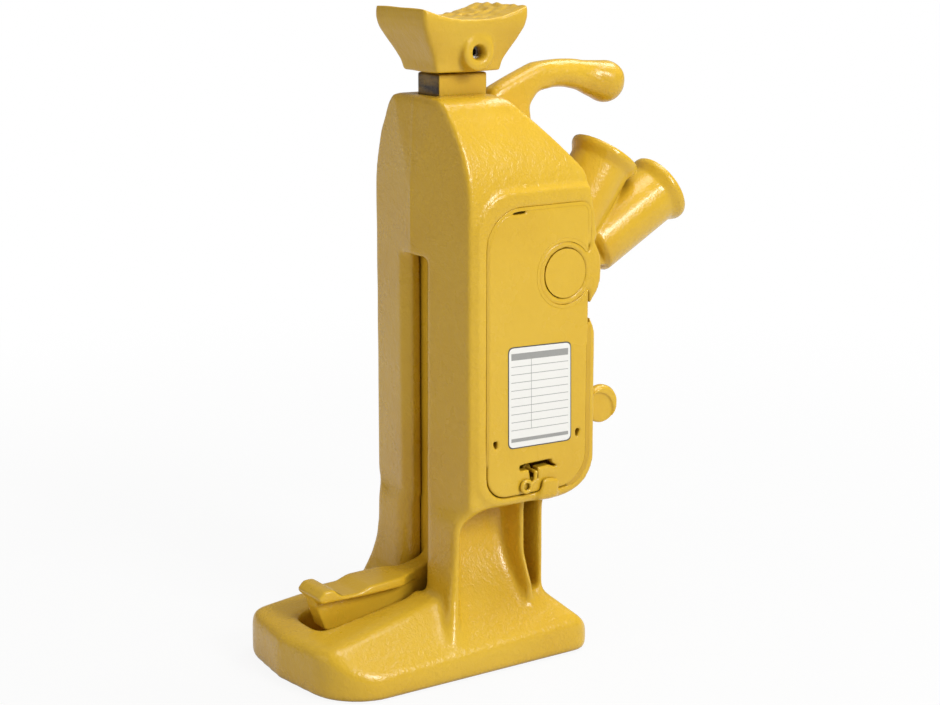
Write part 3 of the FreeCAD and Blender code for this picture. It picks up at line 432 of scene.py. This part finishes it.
def plate_weight(points):
    """Rounds the cover's outside only."""
    return np.where(points[:, 0] > PLATE_OUTSIDE, 1.0, 0.0)


# Seeds of the waves, one for each use
SEED_RIDGE, SEED_BREAK, SEED_PITS, SEED_FLANK, SEED_CASTING = 3, 4, 5, 8, 11
WAVES = 9


def ripple(points, size, seed):
    """Smooth noise from a few seeded sine waves of about this size, mostly between -1 and 1."""
    rng = np.random.default_rng(seed)
    total = np.zeros(len(points))
    for _ in range(WAVES):
        way = rng.normal(size=3)
        way /= np.linalg.norm(way)
        total += np.sin(points @ way * (2 * math.pi / size) * rng.uniform(0.7, 1.4) + rng.uniform(0, 6.3))
    return total / (WAVES / 2)


SADDLE_Z = (0.474, 0.484)
SADDLE_SIDE = (0.034, 0.026)
SADDLE_FRONT = (-0.026, -0.012)
RIDGE_PITCH, RIDGE_HEIGHT = 0.0105, 0.00085
FLANK_WAVE = 0.00025
HEAD_SHRINK = 0.0003


def head_roughness(mesh):
    """Ragged cross ridges in the load saddle and a hand-fettled waviness on the flanks."""
    points = vectors_of(mesh)
    normal = vectors_of(mesh, "vertex_normals", "vector")
    up = ease(normal[:, 2], 0.35, 0.75) * ease(points[:, 2], *SADDLE_Z)
    dish = up * ease(points[:, 0], *SADDLE_SIDE) * ease(points[:, 1], *SADDLE_FRONT)
    drift = 0.0035 * ripple(points, 0.024, SEED_RIDGE)
    ridge = np.sin((points[:, 1] * 0.8 + points[:, 0] * 0.6 + drift) * (2 * math.pi / RIDGE_PITCH))
    broken = 0.5 + 0.5 * ripple(points, 0.017, SEED_BREAK)
    top = (0.9 * ridge * broken + 0.4 * ripple(points, 0.010, SEED_PITS)) * RIDGE_HEIGHT * dish
    flank = ripple(points, 0.03, SEED_FLANK) * FLANK_WAVE
    points += normal * (top + flank - HEAD_SHRINK)[:, None]
    points[:, 2] = np.minimum(points[:, 2], CAD_BOX[1][2])
    move_points(mesh, points)


FOOT_ROUNDS, FOOT_Z, ABOVE_FLOOR = 26, (0.135, 0.115), (0.004, 0.02)
CAST_WAVE, CAST_DEPTH = 0.05, 0.00012
KNOB_SWELL, NECK_WAIST = 0.0011, 0.0016
PARTING_HALF, PARTING_HEIGHT, PARTING_Z = 0.0018, 0.0006, (0.322, 0.330)


def casting_skin(mesh):
    """Broad rounding low down, the handle's knob and neck, a parting line and slow waviness."""
    relax(mesh, FOOT_ROUNDS, lambda points: casting_weight(points) * ease(points[:, 2], *FOOT_Z))
    points = vectors_of(mesh)
    normal = vectors_of(mesh, "vertex_normals", "vector")
    wave = (ripple(points, CAST_WAVE, SEED_CASTING) - 1.0) * CAST_DEPTH
    depth = wave * casting_weight(points) * ease(points[:, 2], *ABOVE_FLOOR)
    neck = np.hypot(points[:, 1] - HANDLE_NECK[0], points[:, 2] - HANDLE_NECK[1])
    knob = np.hypot(points[:, 1] - HANDLE_KNOB[0], points[:, 2] - HANDLE_KNOB[1])
    swell = KNOB_SWELL * ease(knob, 0.019, 0.006) * ease(normal[:, 2], -0.2, 0.6)
    shape = swell - NECK_WAIST * ease(neck, 0.017, 0.003)
    parting = np.clip(1 - np.abs(points[:, 0]) / PARTING_HALF, 0, 1) * ease(-normal[:, 1], 0.5, 0.8)
    parting *= ease(points[:, 2], *PARTING_Z) * PARTING_HEIGHT
    points += normal * (depth + shape + parting)[:, None]
    move_points(mesh, points)


# node, body, voxel in metres, rounds, weight, share of triangles kept, material, slot, carving
CAST = [
    ("frame_casting", "frame", 0.0016, 7, casting_weight, 0.55, CASTING, "painted_casting", casting_skin),
    ("head", "lift", 0.0010, 16, even, 0.7, HEAD_PAINT, "painted_casting", head_roughness),
    ("lever_socket", "lever", 0.0011, 4, socket_weight, 0.6, SOCKET_PAINT, "painted_casting", None),
    ("lift_bar", "lift", 0.0010, 6, bar_weight, 0.45, BAR_PAINT, "painted_steel", None),
    ("cover_plate", "frame", 0.0009, 3, plate_weight, 0.6, PLATE, "painted_plate", None),
    ("reversing_lever", "reverser", 0.0007, 5, even, 0.6, SOCKET_PAINT, "painted_casting", None),
]


def cast_pieces():
    for node, body, voxel, rounds, weight, share, material, slot, carve in CAST:
        piece = cast_form(node, voxel, rounds, weight, share, carve)
        piece.data.materials.clear()
        piece.data.materials.append(material)
        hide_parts(node)
        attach(piece, body)


def cover_piece(work, name, materials):
    """Turns a closed bmesh into a piece on the cover."""
    bmesh.ops.recalc_face_normals(work, faces=work.faces)
    mesh = bpy.data.meshes.new(name)
    work.to_mesh(mesh)
    work.free()
    for material in materials:
        mesh.materials.append(material)
    piece = added(name, mesh)
    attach(piece, "frame")


# Blank plate on the cover, with its corners as (y, z) and its rulings as shares of its width and height
LABEL_CORNERS = [(0.0040, 0.2513), (0.0045, 0.1717), (0.0643, 0.1704), (0.0632, 0.2493)]
LABEL_CORNER_RADIUS, FIELD_CORNER_RADIUS = 0.005, 0.0046
LABEL_SINK, FIELD_RISE, INK_RISE = 0.0004, 0.00022, 0.00026
EDGE_DROP, INK_SINK = 0.00003, 0.0002
FIELD = (0.014, 0.986, 0.011, 0.989)
RULED = (0.05, 0.95)
BANDS = [(0.065, 0.13), (0.90, 0.935)]
ROWS, FIRST_ROW, ROW_PITCH, ROW_HEIGHT = 9, 0.19, 0.078, 0.006
COLUMN = (0.36, 0.366, 0.13, 0.82)
WHITE, GREY, DARK = range(3)


def rounded(corners, radius, steps=6):
    """Outline of a plate with rounded corners, as (y, z) points."""
    points = []
    count = len(corners)
    for i, corner in enumerate(corners):
        corner = Vector(corner)
        before = (Vector(corners[i - 1]) - corner).normalized()
        after = (Vector(corners[(i + 1) % count]) - corner).normalized()
        start, end = corner + before * radius, corner + after * radius
        for k in range(steps + 1):
            t = k / steps
            points.append(start * (1 - t) ** 2 + corner * 2 * t * (1 - t) + end * t * t)
    return points


def raised(work, points, x0, x1, material):
    """Adds a closed prism over the outline between x0 and x1."""
    low = [work.verts.new((x0, point[0], point[1])) for point in points]
    high = [work.verts.new((x1, point[0], point[1])) for point in points]
    faces = [work.faces.new(low[::-1]), work.faces.new(high)]
    for i in range(len(points)):
        j = (i + 1) % len(points)
        faces.append(work.faces.new((low[i], low[j], high[j], high[i])))
    for face in faces:
        face.material_index = material


def on_label(u, v):
    """A place on the plate, u across and v down, both 0 to 1, as (y, z)."""
    top_left, low_left, low_right, top_right = (Vector(corner) for corner in LABEL_CORNERS)
    left = top_left.lerp(low_left, v)
    right = top_right.lerp(low_right, v)
    return left.lerp(right, u)


def patch(u0, u1, v0, v1):
    return [on_label(u0, v0), on_label(u0, v1), on_label(u1, v1), on_label(u1, v0)]


def label():
    """Blank record plate: a white field, a thin dark border and empty ruled rows."""
    work = bmesh.new()
    base, field_top, ink_top = COVER_FACE - LABEL_SINK, COVER_FACE + FIELD_RISE, COVER_FACE + INK_RISE
    raised(work, rounded(LABEL_CORNERS, LABEL_CORNER_RADIUS), base, field_top - EDGE_DROP, DARK)
    raised(work, rounded(patch(*FIELD), FIELD_CORNER_RADIUS), base, field_top, WHITE)
    inked = [patch(*RULED, *band) for band in BANDS]
    for row in range(ROWS):
        v = FIRST_ROW + row * ROW_PITCH
        inked.append(patch(*RULED, v, v + ROW_HEIGHT))
    inked.append(patch(*COLUMN))
    for outline in inked:
        raised(work, outline, field_top - INK_SINK, ink_top, GREY)
    cover_piece(work, "cover_label", (LABEL_WHITE, LABEL_GREY, LABEL_DARK))


# Paint that has run into the cover's seam, and strips of painted shade along its left side and lower rim:
# lengths in metres, and shares of half a bead's width
BEAD_SHARES = (-1.0, -0.72, -0.4, 0.0, 0.4, 0.72, 1.0)
BEAD_FADE = 4
BEAD_RISE, BEAD_END_SINK = 0.00002, 0.0006
BEAD_ROOT, BEAD_ROOT_SHARE = 0.0022, 0.9
SEAM_LEFT, SEAM_RIGHT = -0.0142, 0.0802
SEAM_HIGH, SEAM_LOW = 0.3552, 0.1338
CORNER_LEFT, CORNER_RIGHT, CORNER_LOW = 0.030, 0.008, 0.0262
LEFT_START, RIGHT_END, RIM_START = 0.160, 0.3190, 0.262
BOSS_RADIUS = 0.0257


def straight(start, end, steps):
    """Evenly spaced points from start up to but not including end."""
    return [(start[0] + (end[0] - start[0]) * k / steps, start[1] + (end[1] - start[1]) * k / steps)
            for k in range(steps)]


def arc(centre, radius, start, end, steps):
    """Points on a circle in the (y, z) plane, degrees from +y toward +z."""
    turns = [math.radians(start + (end - start) * k / steps) for k in range(steps + 1)]
    return [(centre[0] + radius * math.cos(t), centre[1] + radius * math.sin(t)) for t in turns]


def bead(name, points, half, dip, outer_drop, material):
    """A strip over a seam, set paint or painted shade by its material: hollow along its middle, sinking
    in at both ends.
    """
    work = bmesh.new()
    rows = []
    count = len(points)
    for i, point in enumerate(points):
        here = Vector(point)
        way = (Vector(points[min(i + 1, count - 1)]) - Vector(points[max(i - 1, 0)])).normalized()
        side = Vector((-way.y, way.x))
        fade = 1.0 - min(i, count - 1 - i, BEAD_FADE) / BEAD_FADE
        row = []
        for share in BEAD_SHARES:
            place = here + side * (share * half)
            x = COVER_FACE + BEAD_RISE - dip * (1 - share * share) - outer_drop * max(share, 0.0)
            x -= BEAD_END_SINK * fade
            row.append(work.verts.new((x, place.x, place.y)))
        for share in (1.0, -1.0):
            place = here + side * (share * half * BEAD_ROOT_SHARE)
            row.append(work.verts.new((COVER_FACE - BEAD_ROOT, place.x, place.y)))
        rows.append(row)
    for low, high in zip(rows, rows[1:]):
        for k in range(len(low)):
            n = (k + 1) % len(low)
            work.faces.new((low[k], low[n], high[n], high[k]))
    work.faces.new(rows[0])
    work.faces.new(rows[-1][::-1])
    for face in work.faces:
        face.smooth = True
    cover_piece(work, name, (material,))


def seams():
    """Beads along the cover's left side, its top and right side, its lower rim and the shaft's boss;
    those on the left side and the lower rim are painted shade.
    """
    left = straight((SEAM_LEFT, LEFT_START), (SEAM_LEFT, SEAM_HIGH - CORNER_LEFT), 30)
    corner = arc((SEAM_LEFT + CORNER_LEFT, SEAM_HIGH - CORNER_LEFT), CORNER_LEFT, 180, 90, 14)
    top = straight((SEAM_LEFT + CORNER_LEFT, SEAM_HIGH), (SEAM_RIGHT - CORNER_RIGHT, SEAM_HIGH), 12)[1:]
    turn = arc((SEAM_RIGHT - CORNER_RIGHT, SEAM_HIGH - CORNER_RIGHT), CORNER_RIGHT, 90, 0, 6)
    right = straight((SEAM_RIGHT, SEAM_HIGH - CORNER_RIGHT), (SEAM_RIGHT, RIGHT_END), 8)[1:]
    # The left bead is a dark strip of painted shade where the seam's groove lies in shade
    bead("seam_shade_left", left + corner[:6], 0.0011, 0.00003, 0.0, SEAM_SHADE)
    bead("seam_paint_top", left[-7:] + corner + top + turn + right, 0.0013, 0.00018, 0.00025, PLATE)
    # The rim bead is a broad band of painted shade along the channel between the cover and the rim
    rim = straight((SEAM_RIGHT, RIM_START), (SEAM_RIGHT, SEAM_LOW + CORNER_LOW), 20)
    low_corner = arc((SEAM_RIGHT - CORNER_LOW, SEAM_LOW + CORNER_LOW), CORNER_LOW, 0, -75, 14)
    bead("seam_shade_rim", rim + low_corner, 0.0021, 0.00003, 0.0, RIM_SHADE)
    bead("seam_paint_boss", arc(PIVOT, BOSS_RADIUS, 34, 326, 60), 0.0013, 0.00004, 0.0, PLATE)


# Materials of the nodes that show as they are; the others are plain steel
FINISH = {
    "latch_clip": PLATE, "lever_shaft": PLATE,
    "lever_bush": BRONZE, "thrust_washers": BRONZE,
    "drag_spring": SPRING_STEEL, "holding_spring": SPRING_STEEL,
}


def finish_nodes():
    for name, node in NODES.items():
        if node.hide_render:
            continue
        node.data.materials.clear()
        node.data.materials.append(FINISH.get(name, STEEL))


# Stage
WHITE_LIGHT = (1, 1, 1)
FLOOR_HALF = 12.0
FLOOR_GREYS = [(0.3, 0.60), (0.7, 0.64)]
FLOOR_FADE = (0.25, 1.4)
FLOOR_WHITE_NEAR, FLOOR_WHITE_FAR = 0.91, 1.0
# Glossy rays see this share of the floor's white, and none of the world's
FLOOR_GLOSSY = 0.5


def white_share(shade):
    """1 for camera and transmission rays, FLOOR_GLOSSY for glossy ones, else 0."""
    path = shade.node("ShaderNodeLightPath")
    share = shade.times(path.outputs["Is Glossy Ray"], FLOOR_GLOSSY)
    for ray in ("Is Camera Ray", "Is Transmission Ray"):
        share = shade.math("MAXIMUM", share, path.outputs[ray])
    return share


def floor():
    """Plain paper that takes the object's shadow and shows as white, fully so away from it."""
    mesh = bpy.data.meshes.new("floor")
    s = FLOOR_HALF
    mesh.from_pydata([(-s, -s, 0), (s, -s, 0), (s, s, 0), (-s, s, 0)], [], [(0, 1, 2, 3)])
    shade = Shade("floor_paper")
    shade.finished(Base_Color=shade.ramp(shade.noise(3.0, 2.0), FLOOR_GREYS), Roughness=0.9)
    glow = shade.node("ShaderNodeEmission")
    glow.inputs["Color"].default_value = (*WHITE_LIGHT, 1)
    glow.inputs["Strength"].default_value = 1.0
    x, y, _ = shade.split(shade.coords)
    reach = shade.math("SQRT", shade.math("ADD", shade.times(x, x), shade.times(y, y)))
    far = shade.times(shade.span(reach, *FLOOR_FADE), FLOOR_WHITE_FAR - FLOOR_WHITE_NEAR)
    share = shade.math("ADD", far, FLOOR_WHITE_NEAR)
    mixed = shade.node("ShaderNodeMixShader")
    shade.link(shade.times(white_share(shade), share), mixed.inputs[0])
    shade.link(shade.shader.outputs[0], mixed.inputs[1])
    shade.link(glow.outputs[0], mixed.inputs[2])
    shade.link(mixed.outputs[0], shade.out.inputs["Surface"])
    mesh.materials.append(shade.material)
    added("floor", mesh)


WORLD_TINT = (1.0, 0.99, 0.97)
WORLD_STRENGTH = 0.30


def world():
    """Soft warm light all round, seen as plain white by camera and transmission rays."""
    studio = bpy.data.worlds.new("studio")
    studio.use_nodes = True
    nodes, link = studio.node_tree.nodes, studio.node_tree.links.new
    nodes.clear()
    mixed = nodes.new("ShaderNodeMixShader")
    for socket, tint, strength in ((1, WORLD_TINT, WORLD_STRENGTH), (2, WHITE_LIGHT, 1.0)):
        light = nodes.new("ShaderNodeBackground")
        light.inputs["Color"].default_value = (*tint, 1)
        light.inputs["Strength"].default_value = strength
        link(light.outputs[0], mixed.inputs[socket])
    path = nodes.new("ShaderNodeLightPath")
    seen = nodes.new("ShaderNodeMath")
    seen.operation = "MAXIMUM"
    link(path.outputs["Is Camera Ray"], seen.inputs[0])
    link(path.outputs["Is Transmission Ray"], seen.inputs[1])
    link(seen.outputs[0], mixed.inputs[0])
    link(mixed.outputs[0], nodes.new("ShaderNodeOutputWorld").inputs["Surface"])
    SCENE.world = studio


# name, place, target, width and height in metres, power in watts, tint
SOFTBOXES = [
    ("key", (2.2, 0.5, 1.5), (0, 0, 0.25), 0.65, 0.9, 43, WHITE_LIGHT),
    ("top", (0.3, 0.45, 2.4), (0, 0, 0.2), 1.2, 1.2, 24, WHITE_LIGHT),
    ("back", (-0.35, 1.45, 2.1), (0, 0, 0.25), 0.8, 0.8, 15, WHITE_LIGHT),
    ("fill", (-0.6, -2.4, 0.9), (0, 0, 0.25), 1.6, 1.2, 10, (1.0, 0.82, 0.45)),
]


def softboxes():
    for name, place, target, width, height, power, tint in SOFTBOXES:
        light = bpy.data.lights.new(name, "AREA")
        light.shape = "RECTANGLE"
        light.size, light.size_y = width, height
        light.energy = power
        light.color = tint
        lamp = added(name, light)
        lamp.location = place
        lamp.rotation_euler = (Vector(target) - Vector(place)).to_track_quat("-Z", "Y").to_euler()


# The photograph's view, fitted to its picture: place in metres, lens and sensor in millimetres
CAMERA_PLACE = (1.26717, -0.84170, 0.58091)
CAMERA_AIM = (-0.80748, 0.54671, -0.22155)
CAMERA_LENS, CAMERA_SENSOR = 76.6, 36.0
CAMERA_REACH = 60.0


def camera():
    lens = bpy.data.cameras.new("photo_view")
    lens.lens = CAMERA_LENS
    lens.sensor_width = CAMERA_SENSOR
    lens.sensor_fit = "HORIZONTAL"
    lens.clip_end = CAMERA_REACH
    view = added("photo_view", lens)
    view.location = CAMERA_PLACE
    view.rotation_mode = "QUATERNION"
    view.rotation_quaternion = Vector(CAMERA_AIM).to_track_quat("-Z", "Y")
    SCENE.camera = view


cast_pieces()
label()
seams()
finish_nodes()
floor()
world()
softboxes()
camera()

SCENE.view_settings.view_transform = "Standard"
